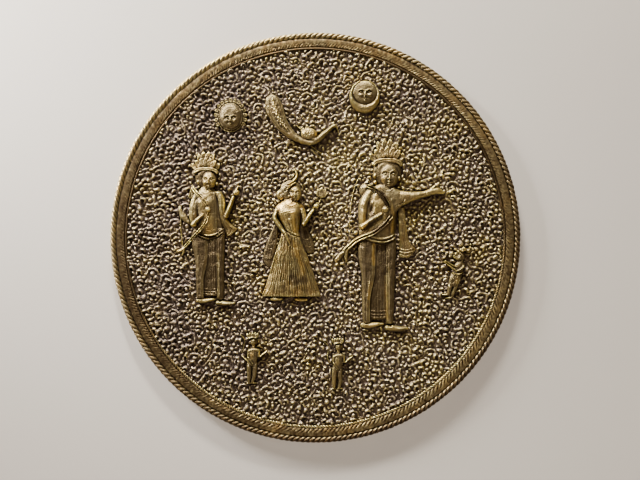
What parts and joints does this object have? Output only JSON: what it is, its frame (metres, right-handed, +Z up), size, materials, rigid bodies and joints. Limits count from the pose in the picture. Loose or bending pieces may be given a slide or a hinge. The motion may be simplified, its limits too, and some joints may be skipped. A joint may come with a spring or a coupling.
{
  "type": "wall charger",
  "caption": "Round brass wall charger with a rope edge, a raised border, foliage ground and archers, a lady, a bird, a sun and a moon in relief.",
  "frame": {"origin": "centre of the flat back floor, where an adhesive disc hanger holds the charger to a wall", "axes": "+Z up the wall, +Y out of the back towards the wall, +X to the right as the front is seen"},
  "size_m": [0.36, 0.0164, 0.36],
  "materials": {
    "brass": "aged, dark in the recesses and rubbed bright on the relief"
  },
  "bodies": {
    "root": {"charger": "brass"}
  },
  "joints": []
}
